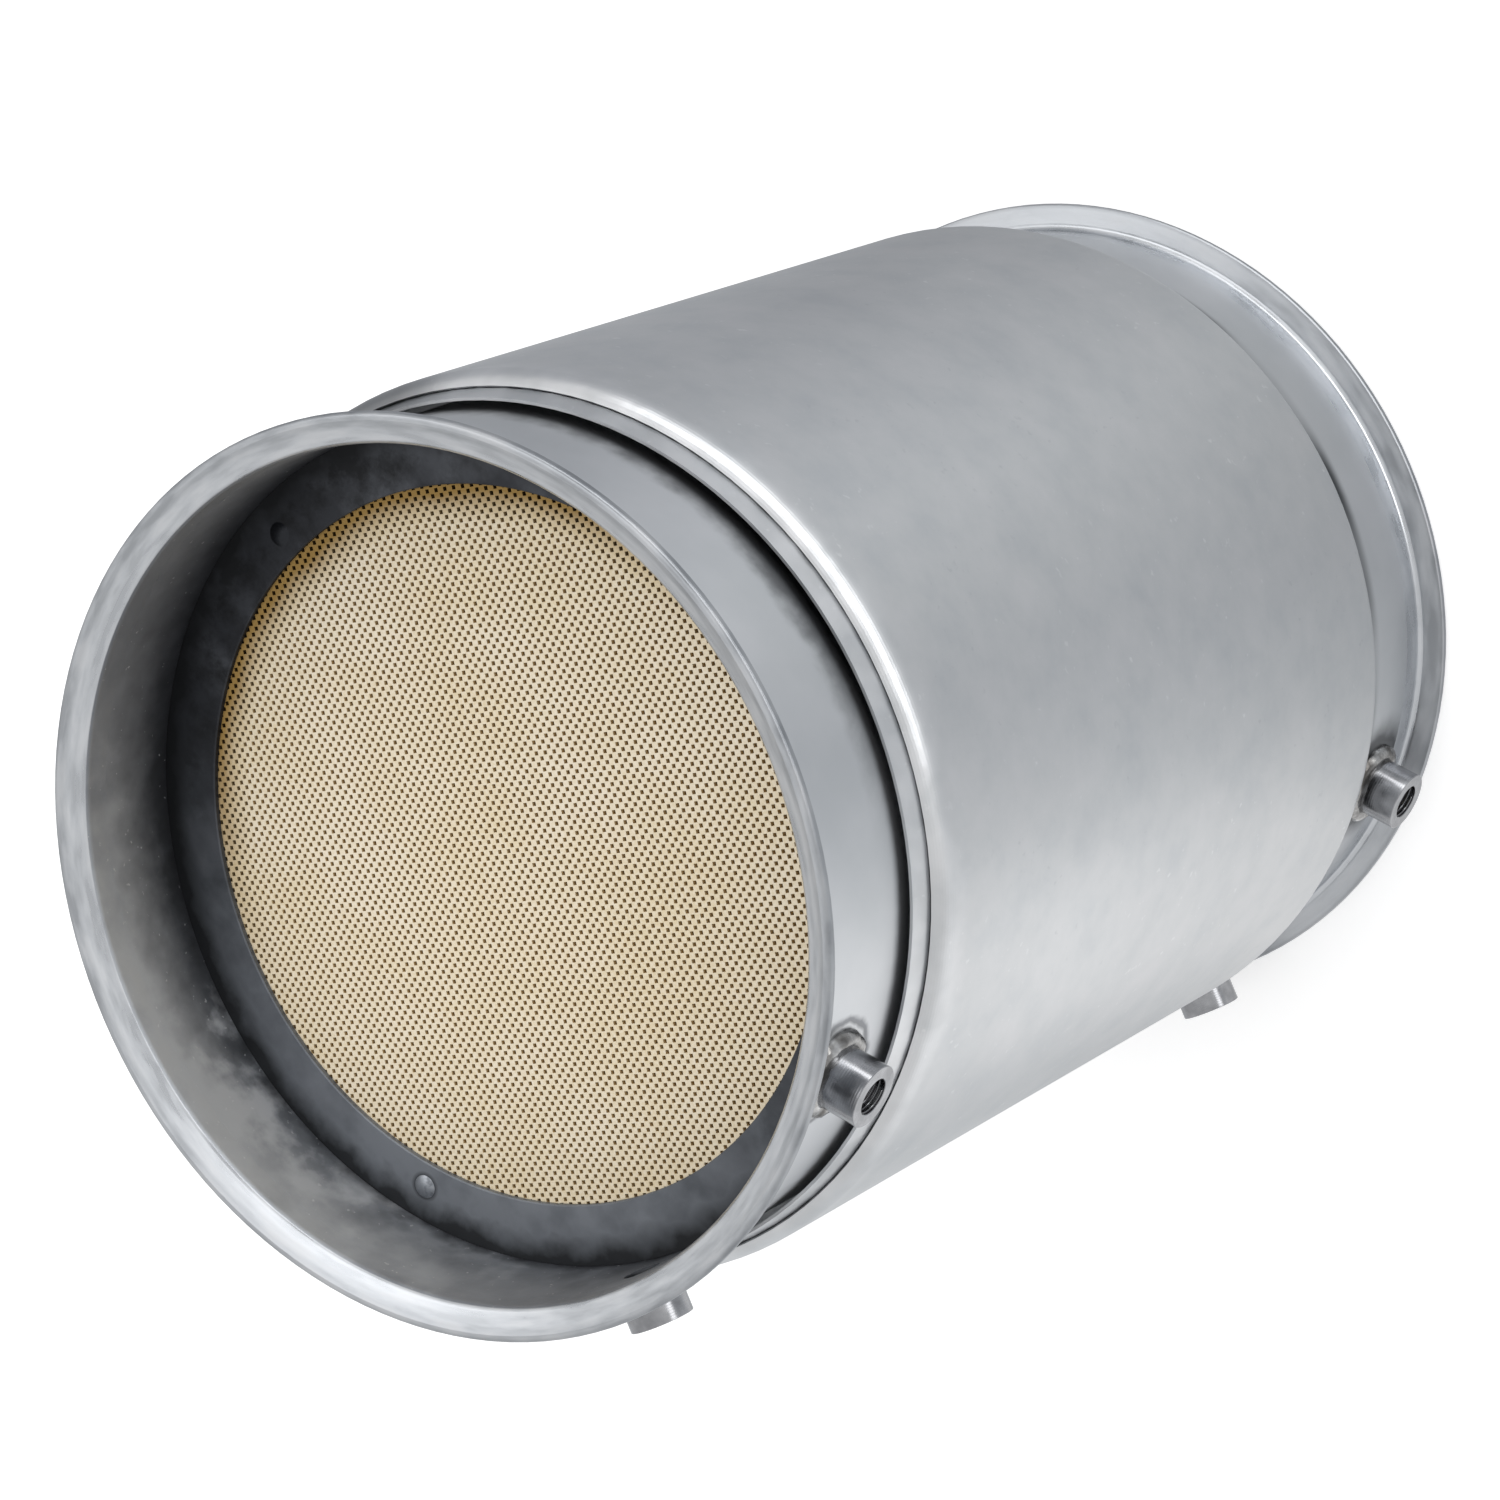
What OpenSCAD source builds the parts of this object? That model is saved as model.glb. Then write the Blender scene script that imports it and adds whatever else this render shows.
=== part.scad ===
// Diesel particulate filter: a wall-flow ceramic brick in a steel can, with a
// clamp flange at each end, four threaded sensor bosses and a heat shield.
// Millimetres. The axis is Z, the outlet flange rests on Z = 0, the inlet is up
// and +X points midway between the two rows of bosses.

/* [Can and flanges] */
// Length over the crests of both flanges
overall_len = 421; // [410:1:440]
// Sheet thickness of the can
can_wall = 1.5; // [1.2:0.1:1.8]
// Largest radius of the flange rims, which the necks and their bosses follow
rim_r = 151; // [140:0.5:160]
// Width of a rim from its crest to its edge
rim_width = 2.5; // [2:0.1:3]
// Width of the flare from the neck to the crest
flare_width = 8.3; // [7:0.1:9]
// Depth of the flare below the crest
flare_depth = 4; // [3.5:0.5:5]
// Inside radius of the bend between neck and flare
bend_r = 3; // [2:0.5:4]
// Height of a flange up to its joint with the can
flange_h = 14; // [12:1:15]

/* [Filter brick] */
// Thickness of the mat that holds the brick in the can
mat_thick = 6.85; // [6:0.05:8]
// Length of the ceramic brick
brick_len = 304.8; // [300:0.1:308]
// Depth of the inlet face below the inlet crest
inlet_depth = 47; // [44:1:50]
// Pitch of the cells, drawn coarse
cell_pitch = 14.4; // [14.4:0.4:18]
// Thickness of the walls between the cells
cell_wall = 3; // [2:0.5:4]
// Length of the plug that closes every cell at one end
plug_len = 12; // [8:1:20]
// Turn of the cell grid about the axis
cell_turn = 55.1; // [0:0.1:90]

/* [Retaining rings] */
// How far a retaining ring covers the edge of the brick
ring_cover = 13.85; // [10:0.05:16]
// Thickness of a retaining ring's face
ring_face = 2; // [1.5:0.1:2.5]
// Thickness of the leg that lies on the can
ring_leg = 1.5; // [1:0.1:2]
// Length of that leg behind the face
ring_leg_len = 13; // [10:1:16]
// Radius of a plug weld on the ring's face
plug_weld_r = 4; // [3:0.5:5]
// Height of a plug weld
plug_weld_h = 1; // [0.6:0.1:1.4]
// Distance of the plug welds from the ring's opening
plug_weld_in = 8.5; // [6:0.5:11]
// Number of plug welds on each ring
plug_welds = 3; // [3:1:6]
// Angle of the first plug weld about the axis
plug_weld_turn = -65.5; // [-90:0.5:90]

/* [Heat shield] */
// Outside radius of the shield, which the body of the can and the brick follow
shield_r = 152; // [140:0.5:164]
// Sheet thickness of the shield and its end rings
shield_wall = 1; // [0.8:0.1:1.2]
// Thickness of the insulation between can and shield
blanket_thick = 9.3; // [8:0.1:12]
// Distance of the shoulder's start from the flange crest
shoulder_at = 72.5; // [70:0.5:78]
// Length of the rounded shoulder along the axis
shoulder_len = 8.4; // [7:0.1:9]
// How far the shoulder turns in
shoulder_in = 4.5; // [4:0.1:5]
// Distance of an end ring's tip from the flange crest
tip_at = 57.3; // [55:0.1:59]
// Gap between the can and an end ring's tip
tip_gap = 2.3; // [1.9:0.1:2.7]
// Length of the leg that carries the shield
carrier_len = 11; // [8:1:14]
// How much nearer the shield comes to the outlet crest than to the inlet crest
outlet_shift = 9.8; // [0:0.1:10]

/* [Sensor bosses] */
// Outside radius of a boss
boss_r = 10.7; // [10:0.1:11]
// Radius of a boss's bore, the tapping hole of the sensor's thread
bore_r = 6.25; // [5:0.05:7.4]
// Height of a boss over the neck
boss_h = 15.8; // [13:0.1:20]
// The same for the taller lower boss at the outlet
tall_h = 18.3; // [13:0.1:22]
// Distance of the bosses from the flange crest
boss_at = 27.2; // [26.5:0.1:29]
// Angle between the side bosses and the lower bosses
boss_spread = 45; // [40:1:60]
// Width of the chamfers on a boss
boss_chamfer = 0.2; // [0.2:0.1:1.2]
// Radius of the weld bead round a boss
bead_r = 3.4; // [2:0.1:3.6]
// Distance of the bead's centre from the boss
bead_out = 1.2; // [0.6:0.1:1.4]

/* [Clearances] */
// Gap between pieces that seat on each other
seat_gap = 0.1; // [0.05:0.05:0.2]

/* [Hidden] */
crest_r = rim_r - rim_width;
neck_ir = crest_r - flare_width;
neck_or = neck_ir + can_wall;
can_or = shield_r - shield_wall - blanket_thick;
can_ir = can_or - can_wall;
brick_r = can_ir - mat_thick;
ring_ir = brick_r - ring_cover;
plug_weld_at = ring_ir + plug_weld_in;
tip_r = can_or + tip_gap + shield_wall;
boss_reach = neck_or + boss_h;
tall_reach = neck_or + tall_h;
neck_at = boss_at + boss_r + bead_out + bead_r;
body_at = inlet_depth - ring_face - 2 * seat_gap;
flare_turn = atan(flare_width / flare_depth);
rim_round = 1.5;
rim_h = 3.2;
back_fillet = 2.4;
back_z = 4.5;
inlet_face = overall_len - inlet_depth;
outlet_face = inlet_face - brick_len;
seal_ir = brick_r + seat_gap;
leg_or = can_ir - seat_gap;
leg_ir = leg_or - ring_leg;
shield_ir = shield_r - shield_wall;
shoulder_turn = 2 * atan(shoulder_in / shoulder_len);
shoulder_rad = shoulder_len / sin(shoulder_turn);
shield_top = overall_len - shoulder_at;
tip_z = overall_len - tip_at;
lap_z = shield_top + (shoulder_rad - shield_wall) * sin(shoulder_turn);
lap_r = shield_r - shoulder_rad + (shoulder_rad - shield_wall) * cos(shoulder_turn);
collar_slope = (lap_r - 2 * seat_gap - tip_r) / (tip_z - lap_z);
collar_base = shield_top - 0.5;
collar_r = tip_r + collar_slope * (tip_z - collar_base);
foot_z = collar_base - carrier_len;
carrier_r = shield_ir - seat_gap;
boss_levels = [overall_len - boss_at, boss_at];
side_angle = boss_spread / 2;
lower_angle = -boss_spread / 2;
boss_angles = [side_angle, lower_angle];
cell_open = cell_pitch - cell_wall;
cell_span = ceil(ring_ir / cell_pitch);
smooth = 144;
steel = [0.66, 0.67, 0.68];
shade_steel = [0.58, 0.59, 0.61];
turned_steel = [0.72, 0.72, 0.73];
ceramic = [0.87, 0.80, 0.64];
fibre = [0.90, 0.89, 0.85];

// Points of an arc round c, from angle a0 to angle a1
function arc(c, r, a0, a1, n = 8) =
    [for (k = [0:n]) let (a = a0 + (a1 - a0) * k / n) c + r * [cos(a), sin(a)]];

// A ring turned from its half section
module turned(section) {
    rotate_extrude($fn = smooth) polygon(section);
}

module tube(r_in, r_out, z0, z1) {
    turned([[r_in, z0], [r_out, z0], [r_out, z1], [r_in, z1]]);
}

// What stands at the inlet, turned over to the outlet
module at_outlet(levels) {
    translate([0, 0, levels]) mirror([0, 0, 1]) children();
}

// A child on the +X side of the axis, at one level and angle
module radial(level, angle) {
    rotate([0, 0, angle]) translate([0, 0, level]) rotate([0, 90, 0]) children();
}

// Flange with its crest on Z = 0: neck, bend, flared face, rim, back and fillet
module flange() {
    bend_c = [neck_ir + bend_r, flare_depth + bend_r * tan(flare_turn / 2)];
    turned(concat(
        [[neck_ir, flange_h]],
        arc(bend_c, bend_r, 180, 180 + flare_turn),
        [[crest_r, 0]],
        arc([rim_r - rim_round, rim_round], rim_round, 270, 360, 6),
        [[rim_r, rim_h - 0.4], [rim_r - 0.4, rim_h]],
        arc([neck_or + back_fillet, back_z + back_fillet], back_fillet, 270, 180, 6),
        [[neck_or, flange_h]]));
}

module inlet_flange() {
    color(steel) at_outlet(overall_len) flange();
}

module outlet_flange() {
    color(steel) flange();
}

// One side of the can's half section from outlet to inlet, with a taper from neck
// to body where their radii differ
function can_side(neck, body, lead) = concat(
    [[neck, flange_h]],
    abs(body - neck) < 0.001 ? [] : [
        [neck, neck_at - lead], [body, body_at - lead],
        [body, overall_len - body_at + lead], [neck, overall_len - neck_at + lead]],
    [[neck, overall_len - flange_h]]);

// Tube between the flanges, drilled under every boss
module inner_can() {
    lead = can_wall * tan(atan2(can_ir - neck_ir, body_at - neck_at) / 2);
    outside = can_side(neck_or, can_or, lead);
    last = len(outside) - 1;
    color(steel) difference() {
        turned(concat(can_side(neck_ir, can_ir, 0), [for (k = [0:last]) outside[last - k]]));
        for (level = boss_levels, angle = boss_angles)
            radial(level, angle) cylinder(r = bore_r, h = boss_reach, $fn = 48);
    }
}

// Wall-flow brick: every second cell opens at the inlet and the others at the
// outlet, and a plug closes the far end of each
module filter_substrate() {
    color(ceramic) difference() {
        translate([0, 0, outlet_face]) cylinder(r = brick_r, h = brick_len, $fn = smooth);
        rotate([0, 0, cell_turn])
            for (i = [-cell_span:cell_span], j = [-cell_span:cell_span])
                if (norm([abs(i), abs(j)] * cell_pitch + [1, 1] * cell_open / 2) < ring_ir - cell_wall)
                    cell(i, j, (i + j) % 2 == 0);
    }
}

module cell(i, j, from_inlet) {
    z0 = outlet_face + (from_inlet ? plug_len : -1);
    translate([i * cell_pitch - cell_open / 2, j * cell_pitch - cell_open / 2, z0])
        cube([cell_open, cell_open, brick_len - plug_len + 1]);
}

module support_mat() {
    color(fibre) tube(brick_r + seat_gap, can_ir - seat_gap,
        outlet_face + ring_leg_len + seat_gap, inlet_face - ring_leg_len - seat_gap);
}

// Retaining ring with its back on the brick's face at Z = 0 and its leg below
module retaining_ring() {
    turned([[ring_ir, 0], [leg_ir, 0], [leg_ir, -ring_leg_len], [leg_or, -ring_leg_len],
            [leg_or, ring_face], [ring_ir + 0.4, ring_face], [ring_ir, ring_face - 0.4]]);
}

module inlet_retaining_ring() {
    color(steel) translate([0, 0, inlet_face + seat_gap]) retaining_ring();
}

module outlet_retaining_ring() {
    color(steel) at_outlet(outlet_face - seat_gap) retaining_ring();
}

// Knitted wire seal between the brick's edge and the ring's leg
module mesh_seal() {
    r = 1.2;
    r0 = seal_ir;
    r1 = leg_ir - seat_gap;
    turned(concat(
        arc([r1 - r, -r], r, 0, 90, 4), arc([r0 + r, -r], r, 90, 180, 4),
        arc([r0 + r, r - ring_leg_len], r, 180, 270, 4), arc([r1 - r, r - ring_leg_len], r, 270, 360, 4)));
}

module inlet_mesh_seal() {
    color(shade_steel) translate([0, 0, inlet_face]) mesh_seal();
}

module outlet_mesh_seal() {
    color(shade_steel) at_outlet(outlet_face) mesh_seal();
}

// Low domes on the face of each retaining ring
module ring_plug_welds() {
    dome_r = (plug_weld_r * plug_weld_r + plug_weld_h * plug_weld_h) / (2 * plug_weld_h);
    levels = [inlet_face + seat_gap + ring_face, outlet_face - seat_gap - ring_face];
    color(shade_steel) for (side = [0, 1], k = [0:plug_welds - 1])
        rotate([0, 0, k * 360 / plug_welds + plug_weld_turn]) translate([plug_weld_at, 0, levels[side]])
            mirror([0, 0, side]) rotate_extrude($fn = 48)
                polygon(concat([[0, 0]], arc([0, plug_weld_h - dome_r], dome_r,
                    90 - asin(plug_weld_r / dome_r), 90, 5)));
}

// Shield sheet: a straight jacket with a rounded shoulder at each end
module heat_shield() {
    c_top = [shield_r - shoulder_rad, shield_top];
    c_low = [shield_r - shoulder_rad, overall_len - shield_top - outlet_shift];
    inner = shoulder_rad - shield_wall;
    color(steel) turned(concat(
        arc(c_low, shoulder_rad, -shoulder_turn, 0, 10), arc(c_top, shoulder_rad, 0, shoulder_turn, 10),
        arc(c_top, inner, shoulder_turn, 0, 10), arc(c_low, inner, 0, -shoulder_turn, 10)));
}

// End ring: collar out of the shoulder, carrier leg under the jacket, foot on the can
module shield_ring() {
    t = shield_wall;
    turned([[tip_r, tip_z], [collar_r, collar_base], [carrier_r, collar_base], [carrier_r, foot_z],
            [can_or + seat_gap, foot_z], [can_or + seat_gap, foot_z + t], [carrier_r - t, foot_z + t],
            [carrier_r - t, collar_base - t], [collar_r - t, collar_base - t], [tip_r - t, tip_z]]);
}

module inlet_shield_ring() {
    color(shade_steel) shield_ring();
}

module outlet_shield_ring() {
    color(shade_steel) at_outlet(overall_len - outlet_shift) shield_ring();
}

module insulation_blanket() {
    color(fibre) tube(can_or + seat_gap, shield_ir - seat_gap,
        overall_len - outlet_shift - foot_z + seat_gap, foot_z - seat_gap);
}

// Threaded boss, coped to the neck, with a chamfer on its rim and its hole
module boss(level, angle, reach = boss_reach) {
    c = boss_chamfer;
    difference() {
        radial(level, angle) rotate_extrude($fn = 64)
            polygon([[bore_r, 0], [boss_r, 0], [boss_r, reach - c], [boss_r - c, reach],
                     [bore_r + c, reach], [bore_r, reach - c]]);
        cylinder(r = neck_or, h = overall_len, $fn = smooth);
    }
}

module inlet_side_boss() {
    color(turned_steel) boss(boss_levels[0], side_angle);
}

module inlet_lower_boss() {
    color(turned_steel) boss(boss_levels[0], lower_angle);
}

module outlet_side_boss() {
    color(turned_steel) boss(boss_levels[1], side_angle);
}

module outlet_lower_boss() {
    color(turned_steel) boss(boss_levels[1], lower_angle, tall_reach);
}

// One rounded bead in the corner between each boss and the neck
module boss_weld_beads() {
    color(shade_steel) difference() {
        for (level = boss_levels, angle = boss_angles)
            radial(level, angle) translate([0, 0, neck_or]) rotate_extrude($fn = 64) intersection() {
                translate([boss_r + bead_out, 0]) circle(r = bead_r, $fn = 24);
                translate([boss_r, -bead_r]) square(2 * bead_r);
            }
        cylinder(r = neck_or, h = overall_len, $fn = smooth);
    }
}

inner_can();
inlet_flange();
outlet_flange();
filter_substrate();
support_mat();
inlet_retaining_ring();
outlet_retaining_ring();
inlet_mesh_seal();
outlet_mesh_seal();
ring_plug_welds();
heat_shield();
inlet_shield_ring();
outlet_shield_ring();
insulation_blanket();
inlet_side_boss();
inlet_lower_boss();
outlet_side_boss();
outlet_lower_boss();
boss_weld_beads();
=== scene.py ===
"""Diesel particulate filter: finishes, cells, threads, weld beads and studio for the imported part."""

import math

import bmesh
import bpy
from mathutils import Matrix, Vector


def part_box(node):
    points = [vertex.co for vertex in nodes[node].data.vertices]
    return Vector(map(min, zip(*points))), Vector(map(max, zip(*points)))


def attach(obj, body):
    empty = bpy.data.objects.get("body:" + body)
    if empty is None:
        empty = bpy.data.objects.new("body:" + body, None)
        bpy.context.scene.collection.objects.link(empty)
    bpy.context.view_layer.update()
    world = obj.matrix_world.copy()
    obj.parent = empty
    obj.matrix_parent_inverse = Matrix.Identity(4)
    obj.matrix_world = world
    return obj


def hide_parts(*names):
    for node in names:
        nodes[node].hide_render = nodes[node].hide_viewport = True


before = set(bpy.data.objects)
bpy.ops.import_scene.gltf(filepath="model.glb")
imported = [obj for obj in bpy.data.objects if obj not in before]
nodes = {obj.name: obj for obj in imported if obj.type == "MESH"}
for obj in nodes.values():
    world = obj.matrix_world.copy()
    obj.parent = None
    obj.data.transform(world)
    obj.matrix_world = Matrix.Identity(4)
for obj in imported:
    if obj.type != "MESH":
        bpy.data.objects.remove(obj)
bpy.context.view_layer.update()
MM = 0.001

# Sizes that the frame gives, in metres
brick_low, brick_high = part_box("filter_substrate")
inlet_face, outlet_face = brick_high[2], brick_low[2]
brick_radius = brick_high[0]
can_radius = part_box("inner_can")[1][0]
rim_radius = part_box("inlet_flange")[1][0]
overall_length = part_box("inlet_flange")[1][2]
inlet_ring_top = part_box("inlet_shield_ring")[1][2]
can_wall = 1.5 * MM
neck_inside = can_radius - can_wall

# The honeycomb at its real pitch
cells_to_square_inch = 200
cell_pitch = 25.4 * MM / math.sqrt(cells_to_square_inch)
cell_wall = 0.44 * MM
cell_depth = 3.5 * MM
cell_turn = math.radians(55.1)
core_radius = 126 * MM
core_thickness = 20 * MM

# The sensor bosses: two rows of them, the same at both ends but for one taller boss
boss_radius = 10.7 * MM
bore_radius = 6.25 * MM
boss_reach = can_radius + 15.8 * MM
tall_reach = can_radius + 18.3 * MM
boss_from_crest = 27.2 * MM
side_angle, lower_angle = math.radians(22.5), math.radians(-22.5)
bead_radius = 3.3 * MM
bead_centre = boss_radius + 1.2 * MM
thread_pitch = 1.5 * MM
thread_depth = 0.35 * MM
inlet_level, outlet_level = overall_length - boss_from_crest, boss_from_crest
boss_places = {
    "inlet_side": (inlet_level, side_angle, boss_reach),
    "inlet_lower": (inlet_level, lower_angle, boss_reach),
    "outlet_side": (outlet_level, side_angle, boss_reach),
    "outlet_lower": (outlet_level, lower_angle, tall_reach),
}

# The plug welds on the retaining rings
plug_weld_at = 128 * MM
plug_weld_radius = 4 * MM
plug_weld_turns = [math.radians(-65.5 + 120 * k) for k in range(3)]

# Sides of the part with painted light and with painted shade, as azimuths in degrees
lit_azimuth = 300
shaded_azimuth = 175

# A colour Mix node's sockets: how much, the two colours, and the result
AMOUNT, FIRST, SECOND, RESULT = 0, 6, 7, 2


# Small helpers

def linear(hex_colour):
    """sRGB hex to the linear colour that shader sockets take."""
    channels = [int(hex_colour[i:i + 2], 16) / 255 for i in (1, 3, 5)]
    return tuple(c / 12.92 if c <= 0.04045 else ((c + 0.055) / 1.055) ** 2.4 for c in channels) + (1,)


def feed(material, node, settings):
    """Gives a node its properties, socket values, links and, as stops, the colours of a ramp."""
    for name, value in settings.items():
        if name == "stops":
            elements = node.color_ramp.elements
            while len(elements) < len(value):
                elements.new(1)
            for element, (position, colour) in zip(elements, value):
                element.position = position
                element.color = linear(colour)
        elif isinstance(name, str) and name not in node.inputs:
            setattr(node, name, value)
        elif isinstance(value, bpy.types.NodeSocket):
            material.node_tree.links.new(value, node.inputs[name])
        else:
            node.inputs[name].default_value = value


def add(material, kind, settings, output=0):
    """Adds one shader node with its settings and links, and gives back one of its outputs."""
    node = material.node_tree.nodes.new("ShaderNode" + kind)
    feed(material, node, settings)
    return node.outputs[output]


def new_finish(name):
    """A new material, its shader, and the place of each point on the part."""
    material = bpy.data.materials.new(name)
    material.use_nodes = True
    shader = material.node_tree.nodes["Principled BSDF"]
    return material, shader, add(material, "TexCoord", {}, "Object")


def round_axis(material, place):
    """Each point's distance from the can's axis, and its way from the axis as a flat unit vector."""
    flat = add(material, "VectorMath", {"operation": "MULTIPLY", 0: place, 1: (1, 1, 0)})
    radius = add(material, "VectorMath", {"operation": "LENGTH", 0: flat}, "Value")
    return radius, add(material, "VectorMath", {"operation": "NORMALIZE", 0: flat})


def side_at(material, way, azimuth, smear):
    """1 on the side at azimuth degrees, 0 a quarter turn away, with a smeared edge."""
    turn = math.radians(azimuth)
    facing = add(material, "VectorMath", {"operation": "DOT_PRODUCT", 0: way,
                                          1: (math.cos(turn), math.sin(turn), 0)}, "Value")
    return add(material, "Math", {"operation": "ADD", 0: facing, 1: smear})


def from_middle(material, place, middle):
    """Height over or under a middle level, so that both ends look alike."""
    height = add(material, "SeparateXYZ", {"Vector": place}, "Z")
    over = add(material, "Math", {"operation": "SUBTRACT", 0: height, 1: middle})
    return add(material, "Math", {"operation": "ABSOLUTE", 0: over})


# Finishes

def oxide_and_painted_shade_inside(material, place, colour, roughness):
    """Settings for sheet: bright outside, dull with oxide inside, with painted light and shade on the inside
    wall and painted shade black in the corner by the brick.
    """
    corner_shade_full, corner_shade_top = 162 * MM, 171 * MM
    shade_lifts_from, shade_lifts_to = 171 * MM, 196 * MM
    deep_azimuth, mouth_azimuth, light_pool_azimuth = 290, 262, 272
    radius, way = round_axis(material, place)
    inside = add(material, "MapRange", {"Value": radius, "From Min": neck_inside + 0.4 * MM,
                                        "From Max": neck_inside + 0.6 * MM, "To Min": 1, "To Max": 0})
    cloud = add(material, "TexNoise", {"Vector": place, "Scale": 1 / (16 * MM), "Detail": 5})
    smear = add(material, "MapRange", {"Value": cloud, "From Min": 0.3, "From Max": 0.7,
                                       "To Min": -0.12, "To Max": 0.12})
    # Painted light and shade on the inside wall: darker where it faces away from the key light, and darker
    # deep in than at the mouth
    low = add(material, "ValToRGB", {"Fac": side_at(material, way, deep_azimuth, smear), "stops": [
        (0.0, "#3B3D42"), (0.5, "#35373B"), (0.77, "#4F5257"), (0.94, "#74787E"), (1.0, "#868A90")]})
    high = add(material, "ValToRGB", {"Fac": side_at(material, way, mouth_azimuth, smear), "stops": [
        (0.0, "#74787F"), (0.33, "#6C7077"), (0.64, "#7E8289"), (0.86, "#979BA1"), (1.0, "#A3A7AD")]})
    # A painted pool of light on the wall under the key light
    light_pool = add(material, "MapRange", {"Value": side_at(material, way, light_pool_azimuth, smear),
                                       "From Min": 0.96, "From Max": 1.06})
    low = add(material, "Mix", {"data_type": "RGBA", AMOUNT: light_pool, FIRST: low,
                                SECOND: linear("#B2B5BA")}, RESULT)
    rough_edge = add(material, "TexNoise", {"Vector": place, "Scale": 1 / (9 * MM), "Detail": 4})
    ragged = add(material, "MapRange", {"Value": rough_edge, "From Min": 0.3, "From Max": 0.7,
                                        "To Min": -3 * MM, "To Max": 3 * MM})
    climb = add(material, "Math", {"operation": "ADD", 0: ragged,
                                   1: from_middle(material, place, overall_length / 2)})
    shade_lifted = add(material, "MapRange", {"Value": climb, "From Min": shade_lifts_from, "From Max": shade_lifts_to})
    wall = add(material, "Mix", {"data_type": "RGBA", AMOUNT: shade_lifted, FIRST: low, SECOND: high}, RESULT)
    # Painted shade: black in the corner by the brick, with a ragged top edge
    open_wall = add(material, "MapRange", {"Value": climb, "From Min": corner_shade_full, "From Max": corner_shade_top})
    wall = add(material, "Mix", {"data_type": "RGBA", AMOUNT: open_wall, FIRST: linear("#1F2023"),
                                 SECOND: wall}, RESULT)
    # Short bright scratches and flecks where the oxide is knocked off
    flecks = add(material, "TexNoise", {"Vector": place, "Scale": 1 / (2.2 * MM), "Detail": 2})
    bare = add(material, "MapRange", {"Value": flecks, "From Min": 0.7, "From Max": 0.76, "To Max": 0.5})
    wall = add(material, "Mix", {"data_type": "RGBA", AMOUNT: bare, FIRST: wall,
                                 SECOND: linear("#C4C6CA")}, RESULT)
    oxide_roughness = 0.22
    dulled = add(material, "Math", {"operation": "MULTIPLY", 0: inside, 1: oxide_roughness})
    return {
        "Base Color": add(material, "Mix", {"data_type": "RGBA", AMOUNT: inside, FIRST: colour,
                                            SECOND: wall}, RESULT),
        "Metallic": add(material, "MapRange", {"Value": inside, "To Min": 1, "To Max": 0.45}),
        "Roughness": add(material, "Math", {"operation": "ADD", 0: roughness, 1: dulled}),
    }


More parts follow.
